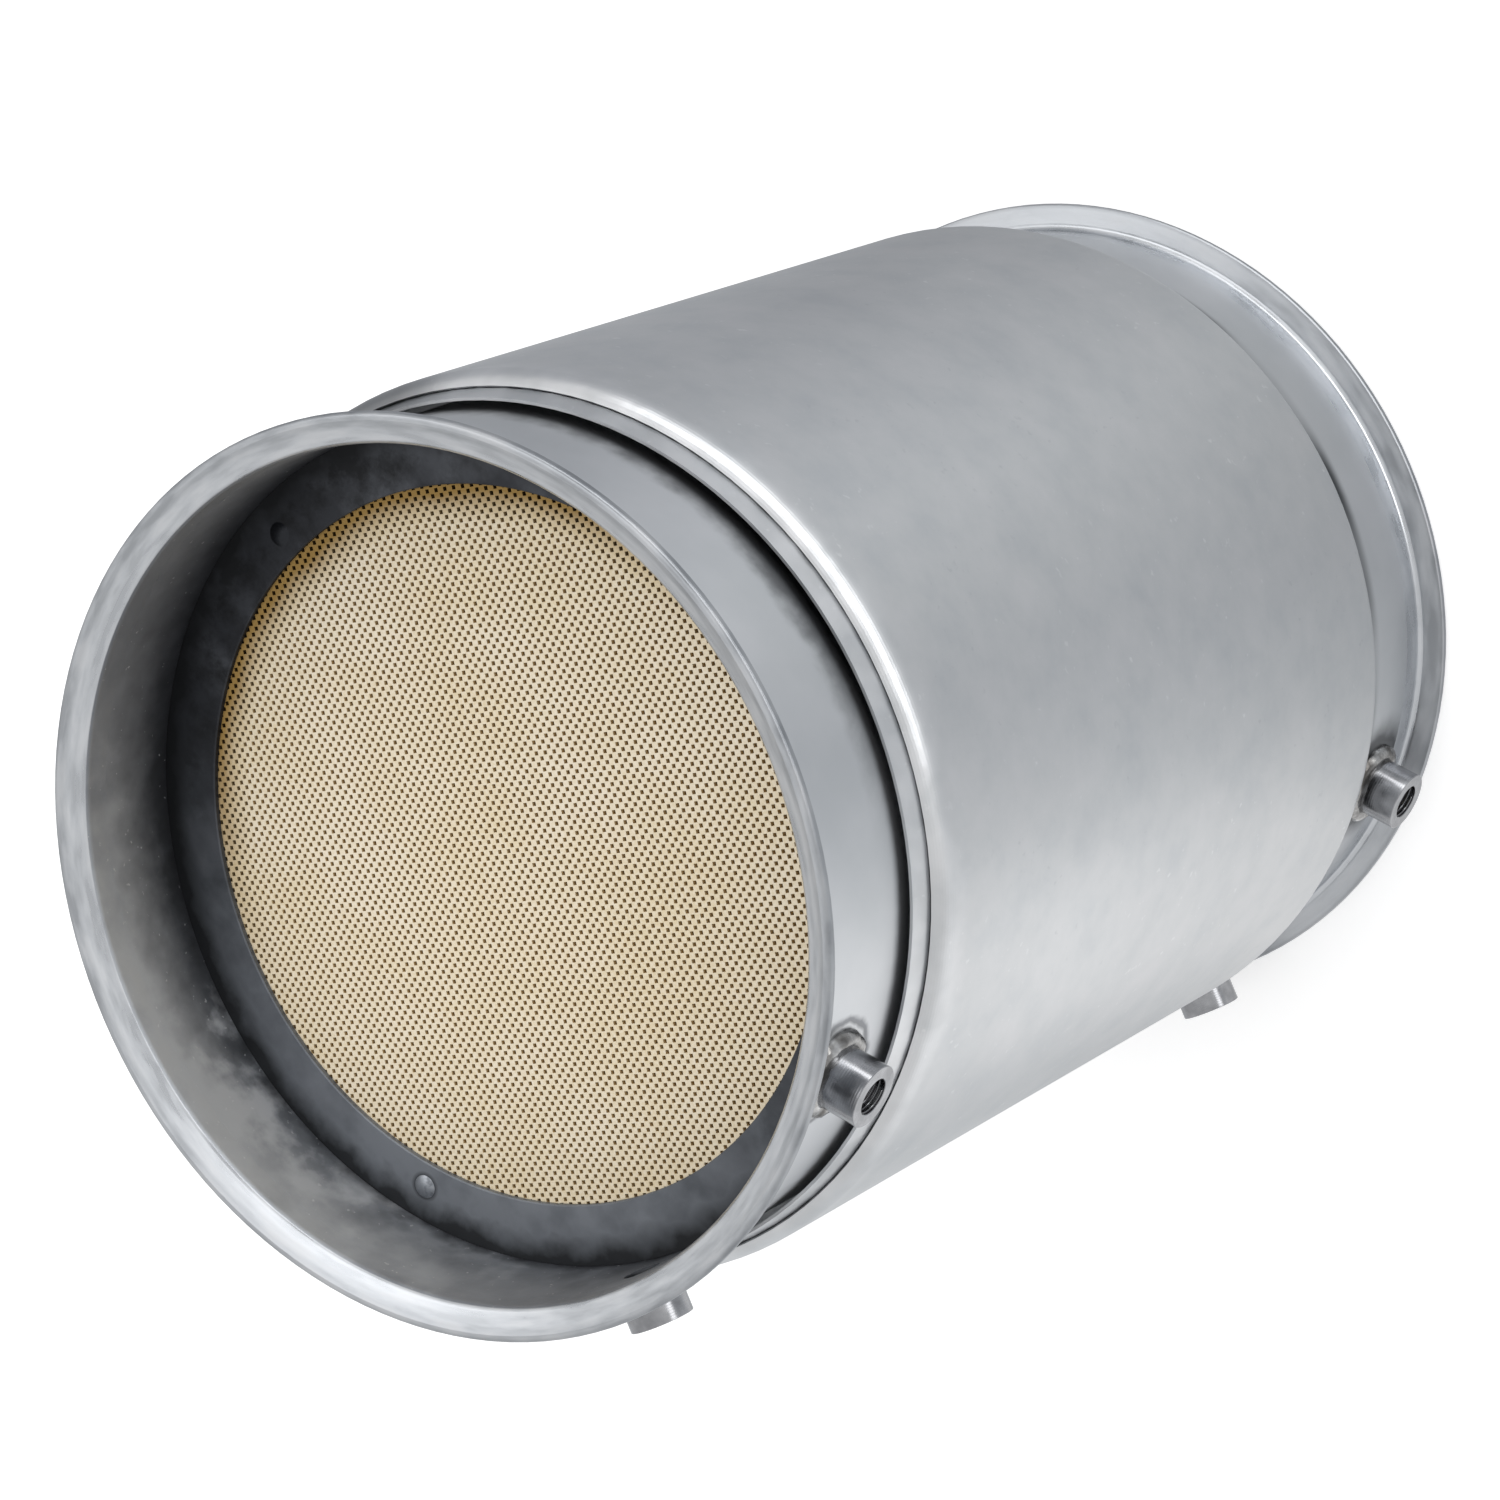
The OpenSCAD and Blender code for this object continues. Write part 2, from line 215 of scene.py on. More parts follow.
def shield_sheet():
    """Rolled stainless sheet as it left the mill: wide soft highlights, faint clouds and light scuffs."""
    material, shader, place = new_finish("rolled stainless shield sheet")
    clouds = add(material, "TexNoise", {"Vector": place, "Scale": 1 / (60 * MM), "Detail": 4})
    mottle = add(material, "TexNoise", {"Vector": place, "Scale": 1 / (22 * MM), "Detail": 7,
                                        "Roughness": 0.62})
    tone = add(material, "ValToRGB", {"Fac": mottle, "stops": [
        (0.3, "#C0C3C6"), (0.5, "#C7C9CB"), (0.7, "#CCCDCF")]})
    specks = add(material, "TexNoise", {"Vector": place, "Scale": 1 / (3.5 * MM), "Detail": 2})
    scuffed = add(material, "MapRange", {"Value": specks, "From Min": 0.67, "From Max": 0.76, "To Max": 0.35})
    scuff = add(material, "ValToRGB", {"Fac": clouds, "stops": [(0.4, "#AEB1B5"), (0.5, "#EAEBEC")]})
    colour = add(material, "Mix", {"data_type": "RGBA", AMOUNT: scuffed, FIRST: tone, SECOND: scuff}, RESULT)
    # The inlet's shoulder is a little wavy, with a painted highlight in patches
    height = add(material, "SeparateXYZ", {"Vector": place}, "Z")
    by_the_end = add(material, "MapRange", {"Value": height, "From Min": inlet_ring_top - 26 * MM,
                                            "From Max": inlet_ring_top - 8 * MM,
                                            "interpolation_type": "SMOOTHSTEP"})
    waves = add(material, "TexNoise", {"Vector": place, "Scale": 1 / (18 * MM), "Detail": 2})
    rub_space_and_painted_highlight = add(material, "MapRange", {"Value": waves, "From Min": 0.4, "From Max": 0.6, "To Max": 0.55})
    rub_space_and_painted_highlight = add(material, "Math", {"operation": "MULTIPLY", 0: rub_space_and_painted_highlight, 1: by_the_end})
    colour = add(material, "Mix", {"data_type": "RGBA", AMOUNT: rub_space_and_painted_highlight, FIRST: colour,
                                   SECOND: linear("#DCDDDF")}, RESULT)
    swell = add(material, "MapRange", {"Value": waves, "From Min": 0.25, "From Max": 0.75, "To Min": -1})
    swell = add(material, "Math", {"operation": "MULTIPLY", 0: swell, 1: by_the_end})
    wavy = add(material, "Bump", {"Height": swell, "Distance": 0.18 * MM, "Strength": 1})
    # Painted shade on the inlet's shoulder and ring, on the side away from the bosses
    way = round_axis(material, place)[1]
    far_side = add(material, "MapRange", {"Value": side_at(material, way, shaded_azimuth, 0),
                                          "From Min": 0.83, "From Max": 0.94, "To Max": 0.7,
                                          "interpolation_type": "SMOOTHSTEP"})
    darkening = add(material, "Math", {"operation": "MULTIPLY", 0: by_the_end, 1: far_side})
    colour = add(material, "Mix", {"data_type": "RGBA", AMOUNT: darkening, FIRST: colour,
                                   SECOND: linear("#5C5E61")}, RESULT)
    # Rolling grain runs along the can, and is drawn 1.2 mm wide, coarser than real, so that it shows
    drawn = add(material, "Mapping", {"Vector": place, "Scale": (1, 1, 0.2)})
    grain = add(material, "TexNoise", {"Vector": drawn, "Scale": 1 / (1.2 * MM), "Detail": 2})
    feed(material, shader, {
        "Base Color": colour,
        "Metallic": 1,
        "Roughness": add(material, "MapRange", {"Value": clouds, "From Min": 0.3, "From Max": 0.7,
                                                "To Min": 0.33, "To Max": 0.41}),
        "Normal": add(material, "Bump", {"Height": grain, "Distance": 0.02 * MM, "Strength": 0.35,
                                         "Normal": wavy}),
    })
    return material


def flange_steel(name, shoulder, rim, wear):
    """Pressed flange: lighter on the flare and greyer to the rim as painted shade, with scuffs round it."""
    material, shader, place = new_finish(name)
    radius, way = round_axis(material, place)
    # Painted shade: the flange greys from the flare out to the rim
    across = add(material, "MapRange", {"Value": radius, "From Min": neck_inside, "From Max": rim_radius})
    tone = add(material, "ValToRGB", {"Fac": across, "stops": [
        (0.0, "#C6C9CD"), (0.5, "#C6C9CD"), (0.66, shoulder), (0.84, shoulder), (0.97, rim)]})
    # Scuffs are 4 mm across and drawn out round the rim, where 30 mm stand for its whole radius
    drawn_radius = 30 * MM
    drawn = add(material, "VectorMath", {"operation": "MULTIPLY", 0: way, 1: (drawn_radius, drawn_radius, 0)})
    height = add(material, "SeparateXYZ", {"Vector": place}, "Z")
    profile = add(material, "Math", {"operation": "MULTIPLY_ADD", 0: height, 1: 0.6, 2: radius})
    rub_space_and_painted_highlight = add(material, "VectorMath", {"operation": "ADD", 0: drawn,
                                          1: add(material, "CombineXYZ", {"Z": profile})})
    scuffs = add(material, "TexNoise", {"Vector": rub_space_and_painted_highlight, "Scale": 1 / (4 * MM), "Detail": 5})
    worn = add(material, "ValToRGB", {"Fac": scuffs, "stops": [
        (0.36, "#8C8F93"), (0.5, "#BDC0C4"), (0.64, "#DCDDDF")]})
    colour = add(material, "Mix", {"data_type": "RGBA", AMOUNT: wear, FIRST: tone, SECOND: worn}, RESULT)
    roughness = add(material, "MapRange", {"Value": scuffs, "From Min": 0.35, "From Max": 0.65,
                                           "To Min": 0.34, "To Max": 0.48})
    # The crease behind the flare is rolled smooth
    crease = add(material, "MapRange", {"Value": radius, "From Min": can_radius + 3 * MM,
                                        "From Max": can_radius + 1.5 * MM, "To Min": 0, "To Max": 0.1})
    roughness = add(material, "Math", {"operation": "SUBTRACT", 0: roughness, 1: crease})
    # Fine scratches round the flange, drawn 1.2 mm wide, coarser than real, so that they show
    grain = add(material, "TexNoise", {"Vector": rub_space_and_painted_highlight, "Scale": 1 / (1.2 * MM), "Detail": 2})
    feed(material, shader, oxide_and_painted_shade_inside(material, place, colour, roughness))
    feed(material, shader, {
        "Normal": add(material, "Bump", {"Height": grain, "Distance": 0.02 * MM, "Strength": 0.4})})
    return material


def ring_with_painted_shade():
    """Retaining ring plate: dull mottled grey with painted light and shade, black in the corner under the
    wall and away from the light.
    """
    corner_from, corner_to = 130 * MM, 138 * MM
    burn_width = 1.6 * MM
    material, shader, place = new_finish("ring steel with painted shade")
    radius, way = round_axis(material, place)
    cloud = add(material, "TexNoise", {"Vector": place, "Scale": 1 / (11 * MM), "Detail": 5})
    smear = add(material, "MapRange", {"Value": cloud, "From Min": 0.3, "From Max": 0.7,
                                       "To Min": -0.16, "To Max": 0.16})
    # Painted light and shade: lighter on the lit side, darker away from it
    tone = add(material, "ValToRGB", {"Fac": side_at(material, way, lit_azimuth, smear), "stops": [
        (0.0, "#33353A"), (0.35, "#474A4F"), (0.75, "#6C7076"), (1.0, "#7F8389")]})
    dust = add(material, "TexNoise", {"Vector": place, "Scale": 1 / (24 * MM), "Detail": 4})
    dusty = add(material, "MapRange", {"Value": dust, "From Min": 0.45, "From Max": 0.65, "To Max": 0.45})
    tone = add(material, "Mix", {"data_type": "RGBA", AMOUNT: dusty, FIRST: tone,
                                 SECOND: linear("#676A70")}, RESULT)
    # Painted shade: black in the corner under the wall, with a ragged edge
    ragged = add(material, "MapRange", {"Value": cloud, "From Min": 0.3, "From Max": 0.7,
                                        "To Min": -3 * MM, "To Max": 3 * MM})
    outward = add(material, "Math", {"operation": "ADD", 0: radius, 1: ragged})
    corner = add(material, "MapRange", {"Value": outward, "From Min": corner_from, "From Max": corner_to,
                                        "To Max": 0.9})
    # Burnt edge round each plug weld on the lit side. The 1 m is farther than any weld.
    from_weld = 1
    flat = add(material, "VectorMath", {"operation": "MULTIPLY", 0: place, 1: (1, 1, 0)})
    for turn in plug_weld_turns:
        weld = (plug_weld_at * math.cos(turn), plug_weld_at * math.sin(turn), 0)
        off = add(material, "VectorMath", {"operation": "DISTANCE", 0: flat, 1: weld}, "Value")
        from_weld = add(material, "Math", {"operation": "MINIMUM", 0: off, 1: from_weld})
    burn = add(material, "MapRange", {"Value": from_weld, "From Min": plug_weld_radius,
                                      "From Max": plug_weld_radius + burn_width, "To Min": 0.75, "To Max": 0})
    lit_side = add(material, "MapRange", {"Value": side_at(material, way, lit_azimuth, 0), "From Max": 0.5})
    burn = add(material, "Math", {"operation": "MULTIPLY", 0: burn, 1: lit_side})
    corner = add(material, "Math", {"operation": "MAXIMUM", 0: corner, 1: burn})
    # Painted shade in patches on the side away from the light
    patches = add(material, "TexNoise", {"Vector": place, "Scale": 1 / (14 * MM), "Detail": 6,
                                         "Roughness": 0.65})
    patchy_painted_shade = add(material, "MapRange", {"Value": patches, "From Min": 0.4, "From Max": 0.6, "To Max": 0.85})
    dark_side = add(material, "MapRange", {"Value": side_at(material, way, shaded_azimuth, smear),
                                           "From Min": 0.55, "From Max": 0.95})
    patchy_painted_shade = add(material, "Math", {"operation": "MULTIPLY", 0: patchy_painted_shade, 1: dark_side})
    corner = add(material, "Math", {"operation": "MAXIMUM", 0: corner, 1: patchy_painted_shade})
    relief = add(material, "TexNoise", {"Vector": place, "Scale": 1 / (5 * MM), "Detail": 4})
    feed(material, shader, {
        "Base Color": add(material, "Mix", {"data_type": "RGBA", AMOUNT: corner, FIRST: tone,
                                            SECOND: linear("#1A1B1D")}, RESULT),
        "Metallic": 0.6,
        "Roughness": 0.5,
        "Normal": add(material, "Bump", {"Height": relief, "Distance": 0.15 * MM, "Strength": 0.35}),
    })
    return material


def plug_weld_steel():
    """Plug weld's cap: smoother and paler than the plate round it, with the same painted shade on the side
    away from the light.
    """
    material, shader, place = new_finish("plug weld steel")
    way = round_axis(material, place)[1]
    clouds = add(material, "TexNoise", {"Vector": place, "Scale": 1 / (3 * MM), "Detail": 3})
    smear = add(material, "MapRange", {"Value": clouds, "From Min": 0.3, "From Max": 0.7,
                                       "To Min": -0.2, "To Max": 0.2})
    # Painted light and shade: dark away from the light, pale on the lit side
    feed(material, shader, {
        "Base Color": add(material, "ValToRGB", {"Fac": side_at(material, way, lit_azimuth, smear), "stops": [
            (0.0, "#2B2D31"), (0.25, "#303236"), (0.55, "#55585D"), (0.85, "#787C82"), (1.0, "#9CA0A6")]}),
        "Metallic": 0.8,
        "Roughness": 0.36,
        "Normal": add(material, "Bump", {"Height": clouds, "Distance": 0.1 * MM, "Strength": 0.4}),
    })
    return material


def tinted_can():
    """Can sheet: bright, with a halo of weld heat round each boss, and painted shade beside the shield at
    both ends.
    """
    halo_from, halo_to = 14 * MM, 20.5 * MM
    smoke_from, smoke_to = 15 * MM, 29 * MM
    shield_shade_from, shield_shade_to = 35 * MM, 41 * MM
    shield_shade_azimuth, ring_shade_azimuth = 65, 125
    material, shader, place = new_finish("can sheet steel with weld heat tint")
    clouds = add(material, "TexNoise", {"Vector": place, "Scale": 1 / (45 * MM), "Detail": 4})
    tone = add(material, "ValToRGB", {"Fac": clouds, "stops": [(0.35, "#C2C5C8"), (0.65, "#CCCED1")]})
    wobble = add(material, "TexNoise", {"Vector": place, "Scale": 1 / (9 * MM), "Detail": 3})
    ragged = add(material, "MapRange", {"Value": wobble, "From Min": 0.3, "From Max": 0.7,
                                        "To Min": -1.1 * MM, "To Max": 1.1 * MM})
    # Distance from the nearest boss. The 1 m is farther than any of them.
    from_boss = 1
    for level, angle, reach in boss_places.values():
        foot = (can_radius * math.cos(angle), can_radius * math.sin(angle), level)
        off = add(material, "VectorMath", {"operation": "DISTANCE", 0: place, 1: foot}, "Value")
        from_boss = add(material, "Math", {"operation": "MINIMUM", 0: off, 1: from_boss})
    from_boss = add(material, "Math", {"operation": "ADD", 0: from_boss, 1: ragged})
    halo = add(material, "MapRange", {"Value": from_boss, "From Min": halo_from, "From Max": halo_to})
    burnt = add(material, "ValToRGB", {"Fac": halo, "stops": [
        (0.0, "#6A6C6F"), (0.2, "#B4B6B8"), (0.36, "#CACCCE"), (0.56, "#85878A"), (0.72, "#8A8C90"),
        (1.0, "#B9BBBE")]})
    height = add(material, "SeparateXYZ", {"Vector": place}, "Z")
    outlet_end = add(material, "MapRange", {"Value": height, "From Min": 200 * MM, "From Max": 210 * MM,
                                            "To Min": 1, "To Max": 0})
    smoke = add(material, "MapRange", {"Value": from_boss, "From Min": smoke_from, "From Max": smoke_to,
                                       "To Min": 0.9, "To Max": 0, "interpolation_type": "SMOOTHSTEP"})
    smoke = add(material, "Math", {"operation": "MULTIPLY", 0: smoke, 1: outlet_end})
    beyond = add(material, "MapRange", {"Value": halo, "From Min": 0.7, "From Max": 1})
    colour = add(material, "Mix", {"data_type": "RGBA", AMOUNT: beyond, FIRST: burnt, SECOND: tone}, RESULT)
    colour = add(material, "Mix", {"data_type": "RGBA", AMOUNT: smoke, FIRST: colour,
                                   SECOND: linear("#4E5053")}, RESULT)
    # Painted shade of the shield's rear edge starts 35 mm over the outlet's crest and is darkest under the
    # shield, on one side
    near_shield = add(material, "MapRange", {"Value": height, "From Min": shield_shade_from, "From Max": shield_shade_to,
                                             "interpolation_type": "SMOOTHSTEP"})
    way = round_axis(material, place)[1]
    one_side = add(material, "MapRange", {"Value": side_at(material, way, shield_shade_azimuth, 0),
                                          "From Min": 0.2, "From Max": 0.8, "To Min": 0.25,
                                          "interpolation_type": "SMOOTHSTEP"})
    patches = add(material, "TexNoise", {"Vector": place, "Scale": 1 / (60 * MM), "Detail": 1})
    uneven = add(material, "MapRange", {"Value": patches, "From Min": 0.36, "From Max": 0.62,
                                        "To Min": 0.2, "interpolation_type": "SMOOTHSTEP"})
    shield_shade = near_shield
    for part in (outlet_end, one_side, uneven):
        shield_shade = add(material, "Math", {"operation": "MULTIPLY", 0: shield_shade, 1: part})
    colour = add(material, "Mix", {"data_type": "RGBA", AMOUNT: shield_shade, FIRST: colour,
                                   SECOND: linear("#45474A")}, RESULT)
    # Painted shade beside the inlet's shield ring, widest on the side away from the bosses
    uneven_edge = add(material, "MapRange", {"Value": wobble, "From Min": 0.3, "From Max": 0.7,
                                             "To Min": -2 * MM, "To Max": 2 * MM})
    ring_shade_height = add(material, "Math", {"operation": "ADD", 0: height, 1: uneven_edge})
    ring_shade = add(material, "MapRange", {"Value": ring_shade_height, "From Min": inlet_ring_top + 3 * MM,
                                      "From Max": inlet_ring_top + 15 * MM, "To Min": 0.8, "To Max": 0,
                                      "interpolation_type": "SMOOTHSTEP"})
    far_side = add(material, "MapRange", {"Value": side_at(material, way, ring_shade_azimuth, 0),
                                          "From Min": 0.2, "From Max": 0.75,
                                          "interpolation_type": "SMOOTHSTEP"})
    inlet_end = add(material, "Math", {"operation": "SUBTRACT", 0: 1, 1: outlet_end})
    for part in (inlet_end, far_side):
        ring_shade = add(material, "Math", {"operation": "MULTIPLY", 0: ring_shade, 1: part})
    colour = add(material, "Mix", {"data_type": "RGBA", AMOUNT: ring_shade, FIRST: colour,
                                   SECOND: linear("#2B2C2F")}, RESULT)
    roughness = add(material, "MapRange", {"Value": halo, "To Min": 0.42, "To Max": 0.34})
    feed(material, shader, oxide_and_painted_shade_inside(material, place, colour, roughness))
    feed(material, shader, {
        "Normal": add(material, "Bump", {"Height": wobble, "Distance": 0.05 * MM, "Strength": 0.3})})
    return material


def turned_steel(name, angle):
    """Bright turned bar: a sharp highlight broken by fine tool rings across the boss's axis."""
    material, shader, place = new_finish(name)
    # Tool rings come out 0.9 mm apart, coarser than a real cut, so that they show
    along = add(material, "Mapping", {"Vector": place, "Rotation": (0, 0, -angle)})
    rings = add(material, "TexWave", {"Vector": along, "Scale": 0.35 / MM, "Distortion": 0.6, "Detail": 1,
                                      "bands_direction": "X"}, "Fac")
    clouds = add(material, "TexNoise", {"Vector": place, "Scale": 1 / (8 * MM), "Detail": 3})
    feed(material, shader, {
        "Base Color": add(material, "ValToRGB", {"Fac": clouds, "stops": [
            (0.35, "#8A8B8E"), (0.7, "#AEAFB2")]}),
        "Metallic": 1,
        "Roughness": add(material, "MapRange", {"Value": clouds, "From Min": 0.3, "From Max": 0.7,
                                                "To Min": 0.16, "To Max": 0.27}),
        "Normal": add(material, "Bump", {"Height": rings, "Distance": 0.012 * MM, "Strength": 0.6}),
    })
    return material


def shaded_thread():
    """Cut thread, painted darker as the shade in the bore, so that only the crests glint."""
    material, shader = new_finish("thread steel with painted shade")[:2]
    # Painted shade: darker than the boss's steel, for the shade in the bore
    feed(material, shader, {"Base Color": linear("#77787A"), "Metallic": 1, "Roughness": 0.18})
    return material


def weld_metal():
    """Weld bead: lumpy bright metal with straw and grey heat colours."""
    material, shader, place = new_finish("weld metal")
    lumps = add(material, "TexNoise", {"Vector": place, "Scale": 1 / (4 * MM), "Detail": 2})
    heat = add(material, "TexNoise", {"Vector": place, "Scale": 1 / (7 * MM), "Detail": 3})
    feed(material, shader, {
        "Base Color": add(material, "ValToRGB", {"Fac": heat, "stops": [
            (0.35, "#5A5856"), (0.52, "#8E8D8C"), (0.7, "#C9C9C9")]}),
        "Metallic": 1,
        "Roughness": add(material, "MapRange", {"Value": lumps, "From Min": 0.3, "From Max": 0.7,
                                                "To Min": 0.14, "To Max": 0.3}),
        "Normal": add(material, "Bump", {"Height": lumps, "Distance": 0.3 * MM, "Strength": 0.5}),
    })
    return material


def cordierite():
    """Fired cream ceramic: chalky walls and plugs, brown in the open cells and darker with depth, with a
    painted shadow in brown round one side of its edge.
    """
    edge_from, edge_to = 106 * MM, 117 * MM
    shadowed_azimuth = 165
    material, shader, place = new_finish("extruded cordierite")
    half_length = (inlet_face - outlet_face) / 2
    darkened_depth = 2.2 * MM
    height = from_middle(material, place, (inlet_face + outlet_face) / 2)
    depth = add(material, "MapRange", {"Value": height, "From Min": half_length,
                                       "From Max": half_length - darkened_depth})
    clouds = add(material, "TexNoise", {"Vector": place, "Scale": 1 / (40 * MM), "Detail": 3})
    cream = add(material, "ValToRGB", {"Fac": clouds, "stops": [(0.35, "#E8D8B7"), (0.65, "#EFE3CC")]})
    # Grains of the fired body, drawn at 0.8 mm so that they show
    grains = add(material, "TexNoise", {"Vector": place, "Scale": 1 / (0.8 * MM), "Detail": 2})
    chalk = add(material, "ValToRGB", {"Fac": grains, "stops": [(0.35, "#DECBA6"), (0.6, "#F4E9D5")]})
    speckle = add(material, "MapRange", {"Value": grains, "From Min": 0.3, "From Max": 0.7,
                                         "To Min": 0.2, "To Max": 0.6})
    colour = add(material, "Mix", {"data_type": "RGBA", AMOUNT: speckle, FIRST: cream, SECOND: chalk}, RESULT)
    # Painted shadow of the neck's wall: ochre brown round one side of the edge, and darker still in the cells
    # there
    radius, way = round_axis(material, place)
    ragged = add(material, "MapRange", {"Value": clouds, "From Min": 0.3, "From Max": 0.7,
                                        "To Min": -2 * MM, "To Max": 2 * MM})
    outward = add(material, "Math", {"operation": "ADD", 0: radius, 1: ragged})
    edge = add(material, "MapRange", {"Value": outward, "From Min": edge_from, "From Max": edge_to})
    shadowed_side = add(material, "MapRange", {"Value": side_at(material, way, shadowed_azimuth, 0),
                                              "From Max": 0.7, "To Min": 0.1, "To Max": 1})
    edge = add(material, "Math", {"operation": "MULTIPLY", 0: edge, 1: shadowed_side})
    ochre = add(material, "ValToRGB", {"Fac": edge, "stops": [(0.0, "#D6BA80"), (0.8, "#9E7F48")]})
    colour = add(material, "Mix", {"data_type": "RGBA", AMOUNT: edge, FIRST: colour, SECOND: ochre}, RESULT)
    # The open cells turn darker brown with depth
    in_cell = add(material, "MapRange", {"Value": depth, "From Min": 0.005, "From Max": 0.05})
    darkening = add(material, "ValToRGB", {"Fac": depth, "stops": [
        (0.0, "#D2BC90"), (0.3, "#CEB485"), (1.0, "#B0945F")]})
    darkening = add(material, "Mix", {"data_type": "RGBA", AMOUNT: edge, FIRST: darkening,
                                  SECOND: linear("#4A3512")}, RESULT)
    feed(material, shader, {
        "Base Color": add(material, "Mix", {"data_type": "RGBA", AMOUNT: in_cell, FIRST: colour,
                                            SECOND: darkening}, RESULT),
        "Roughness": 0.85,
        "Specular IOR Level": 0.25,
        "Normal": add(material, "Bump", {"Height": grains, "Distance": 0.05 * MM, "Strength": 0.3}),
    })
    return material


def needled_fibre(name, dark, light):
    """Needled fibre: pale and matt, with short tangled strands."""
    material, shader, place = new_finish(name)
    # Strands are drawn 1.5 mm wide, far coarser than real fibre, so that they show
    flattened = add(material, "Mapping", {"Vector": place, "Scale": (1, 1, 3)})
    strands = add(material, "TexNoise", {"Vector": flattened, "Scale": 1 / (1.5 * MM), "Detail": 5})
    feed(material, shader, {
        "Base Color": add(material, "ValToRGB", {"Fac": strands, "stops": [(0.3, dark), (0.7, light)]}),
        "Roughness": 0.95,
        "Normal": add(material, "Bump", {"Height": strands, "Distance": 0.3 * MM}),
    })
    return material


def knitted_wire():
    """Knitted seal wire: small bright loops over dark gaps."""
    material, shader, place = new_finish("knitted seal wire")
    loops = add(material, "TexVoronoi", {"Vector": place, "Scale": 1 / (1.2 * MM)}, "Distance")
    feed(material, shader, {
        "Base Color": add(material, "ValToRGB", {"Fac": loops, "stops": [
            (0.1, "#C2C2C4"), (0.6, "#38393B")]}),
        "Metallic": 1,
        "Roughness": 0.4,
        "Normal": add(material, "Bump", {"Height": loops, "Distance": 0.3 * MM, "Strength": 0.8}),
    })
    return material


weld_finish = weld_metal()
thread_finish = shaded_thread()
ceramic_finish = cordierite()
inlet_finish = flange_steel("scuffed inlet flange steel", shoulder="#AEB1B5", rim="#8C8F93", wear=0.36)
outlet_finish = flange_steel("pressed outlet flange steel", shoulder="#C1C4C8", rim="#A4A7AB", wear=0.24)
finishes = {
    shield_sheet(): ["heat_shield", "inlet_shield_ring", "outlet_shield_ring"],
    inlet_finish: ["inlet_flange"],
    outlet_finish: ["outlet_flange"],
    ring_with_painted_shade(): ["inlet_retaining_ring", "outlet_retaining_ring"],
    plug_weld_steel(): ["ring_plug_welds"],
    tinted_can(): ["inner_can"],
    turned_steel("turned side boss steel", side_angle): ["inlet_side_boss", "outlet_side_boss"],
    turned_steel("turned lower boss steel", lower_angle): ["inlet_lower_boss", "outlet_lower_boss"],
    weld_finish: ["boss_weld_beads"],
    ceramic_finish: ["filter_substrate"],
    needled_fibre("support mat fibre", dark="#BDB7A6", light="#E8E4D8"): ["support_mat"],
    needled_fibre("insulation blanket fibre", dark="#CFCDC6", light="#F0EEE8"): ["insulation_blanket"],
    knitted_wire(): ["inlet_mesh_seal", "outlet_mesh_seal"],
}
for finish, names in finishes.items():
    for name in names:
        nodes[name].data.materials.clear()
        nodes[name].data.materials.append(finish)


# Pieces modelled here

def start_clean():
    """Leaves edit mode and deselects everything."""
    if bpy.context.mode != "OBJECT":
        bpy.ops.object.mode_set(mode="OBJECT")
    bpy.ops.object.select_all(action="DESELECT")


def select_faces(piece, wanted):
    """Selects, in edit mode, the faces for which wanted(centre, normal) is true."""
    mesh = bmesh.from_edit_mesh(piece.data)
    for face in mesh.faces:
        face.select_set(False)
    for face in mesh.faces:
        if wanted(face.calc_center_median(), face.normal):
            face.select_set(True)
    mesh.select_flush_mode()
    bmesh.update_edit_mesh(piece.data)


def finish_piece(piece, name, finish):
    """Applies the piece's place, gives it its name and finish, and hands it to the frame."""
    bpy.ops.object.mode_set(mode="OBJECT")
    bpy.ops.object.transform_apply(location=True, rotation=True, scale=True)
    piece.name = piece.data.name = name
    piece.data.materials.clear()
    piece.data.materials.append(finish)
    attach(piece, "root")
    return piece


def honeycomb_core(name, face_level, inward, first):
    """One end of the brick: a grid of cells, every second one pressed in between its walls."""
    start_clean()
    across = 2 * math.ceil(core_radius / cell_pitch)
    bpy.ops.mesh.primitive_grid_add(x_subdivisions=across, y_subdivisions=across,
                                    size=across * cell_pitch, location=(0, 0, face_level))
    piece = bpy.context.object
    bpy.ops.object.mode_set(mode="EDIT")
    bpy.ops.mesh.select_mode(type="FACE")
    select_faces(piece, lambda c, n: c.xy.length > core_radius)
    bpy.ops.mesh.delete(type="FACE")
    if inward > 0:
        bpy.ops.mesh.select_all(action="SELECT")
        bpy.ops.mesh.flip_normals()

    def open_cell(centre, normal):
        column = math.floor(centre.x / cell_pitch)
        row = math.floor(centre.y / cell_pitch)
        return (column + row) % 2 == first and centre.xy.length < core_radius - 2 * cell_pitch

    select_faces(piece, open_cell)
    bpy.ops.mesh.inset(thickness=cell_wall / 2, depth=0, use_individual=True)
    bpy.ops.mesh.extrude_region_move(TRANSFORM_OT_translate={"value": (0, 0, inward * cell_depth)})
    bpy.ops.mesh.select_all(action="DESELECT")
    bpy.ops.mesh.select_mode(type="EDGE")
    bpy.ops.mesh.select_non_manifold(extend=False, use_boundary=True, use_wire=False,
                                     use_multi_face=False, use_non_contiguous=False, use_verts=False)
    bpy.ops.mesh.extrude_region_move(TRANSFORM_OT_translate={"value": (0, 0, inward * core_thickness)})
    bpy.ops.mesh.edge_face_add()
    bpy.ops.mesh.select_all(action="SELECT")
    bpy.ops.mesh.normals_make_consistent(inside=False)
    bpy.ops.object.mode_set(mode="OBJECT")
    piece.rotation_euler.z = cell_turn
    return finish_piece(piece, name, ceramic_finish)


